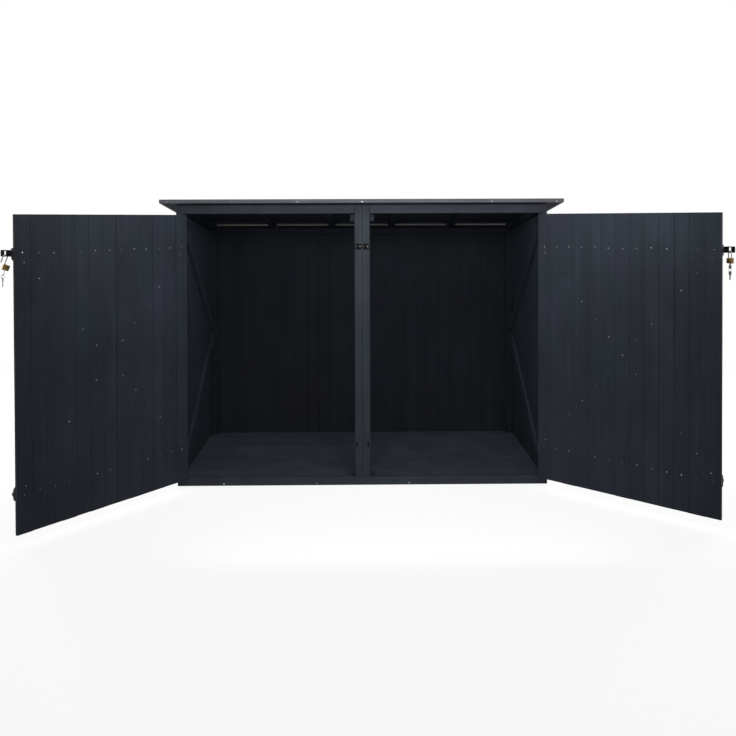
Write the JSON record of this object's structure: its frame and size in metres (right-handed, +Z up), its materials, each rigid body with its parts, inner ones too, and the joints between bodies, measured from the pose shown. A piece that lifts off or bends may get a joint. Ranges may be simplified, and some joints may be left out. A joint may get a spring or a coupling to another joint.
{
  "type": "timber bike shelter with double doors",
  "caption": "Dark grey stained timber bike shelter with a pent roof and cross-braced double doors that stand open, with hasps, padlocks and barrel bolts.",
  "frame": {"origin": "on the ground, under the middle of the front sill's front face", "axes": "+X to the right seen from the front, +Y from the front to the back wall, +Z up"},
  "size_m": [3.1625, 1.6105, 1.4687],
  "materials": {
    "stained_wood": "anthracite stain, matt",
    "trim_wood": "lighter grey stain, matt",
    "roofing_felt": "mineral felt",
    "black_steel": "black",
    "zinc_steel": "zinc plated",
    "shackle_steel": "polished",
    "brass": "brushed"
  },
  "bodies": {
    "shelter": {"floor_deck": "stained_wood", "floor_bearers": "stained_wood", "front_sill": "stained_wood", "front_post_left": "stained_wood", "front_post_right": "stained_wood", "back_posts": "stained_wood", "centre_upright_left": "stained_wood", "centre_upright_right": "stained_wood", "front_header": "stained_wood", "door_stops": "stained_wood", "left_wall": "stained_wood", "right_wall": "stained_wood", "back_wall": "stained_wood", "side_top_rails": "stained_wood", "back_top_rail": "stained_wood", "side_wall_braces": "stained_wood", "rafters": "stained_wood", "roof_deck": "stained_wood", "roof_felt": "roofing_felt", "roof_trim_front": "trim_wood", "roof_trim_left": "trim_wood", "roof_trim_right": "trim_wood", "roof_trim_back": "trim_wood", "hasp_staples": "black_steel", "bolt_keepers": "black_steel", "post_hinge_leaves": "zinc_steel"},
    "left_door": {"left_door_boards": "stained_wood", "left_door_ledges": "stained_wood", "left_door_brace": "stained_wood", "left_door_half_braces": "stained_wood", "left_door_hinge_leaves": "zinc_steel", "left_hasp_plate": "black_steel", "left_bolt_guide": "black_steel"},
    "left_hasp": {"left_hasp_strap": "black_steel", "left_padlock": "brass", "left_shackle": "shackle_steel", "left_keys": "zinc_steel"},
    "left_bolt": {"left_bolt_rod": "black_steel"},
    "right_door": {"right_door_boards": "stained_wood", "right_door_ledges": "stained_wood", "right_door_brace": "stained_wood", "right_door_half_braces": "stained_wood", "right_door_hinge_leaves": "zinc_steel", "right_hasp_plate": "black_steel", "right_bolt_guide": "black_steel"},
    "right_hasp": {"right_hasp_strap": "black_steel", "right_padlock": "brass", "right_shackle": "shackle_steel", "right_keys": "zinc_steel"},
    "right_bolt": {"right_bolt_rod": "black_steel"}
  },
  "joints": [
    {"name": "left_door_hinge", "type": "hinge", "parent": "shelter", "child": "left_door", "pos_m": [-0.9175, -0.0055, 0.719], "axis": [0, 0, -1], "range_deg": [-130, 40]},
    {"name": "left_hasp_hinge", "type": "hinge", "parent": "left_door", "child": "left_hasp", "pos_m": [-1.47478, -0.67229, 1.227], "axis": [0, 0, -1], "range_deg": [0, 32]},
    {"name": "left_bolt_slide", "type": "slide", "parent": "left_door", "child": "left_bolt", "axis": [-0.6428, -0.766, 0], "range_m": [0, 0.024]},
    {"name": "right_door_hinge", "type": "hinge", "parent": "shelter", "child": "right_door", "pos_m": [0.9175, -0.0055, 0.719], "axis": [0, 0, 1], "range_deg": [-140, 30]},
    {"name": "right_hasp_hinge", "type": "hinge", "parent": "right_door", "child": "right_hasp", "pos_m": [1.5821, -0.56539, 1.227], "axis": [0, 0, 1], "range_deg": [0, 90]},
    {"name": "right_bolt_slide", "type": "slide", "parent": "right_door", "child": "right_bolt", "axis": [0.766, -0.6428, 0], "range_m": [0, 0.024]}
  ]
}
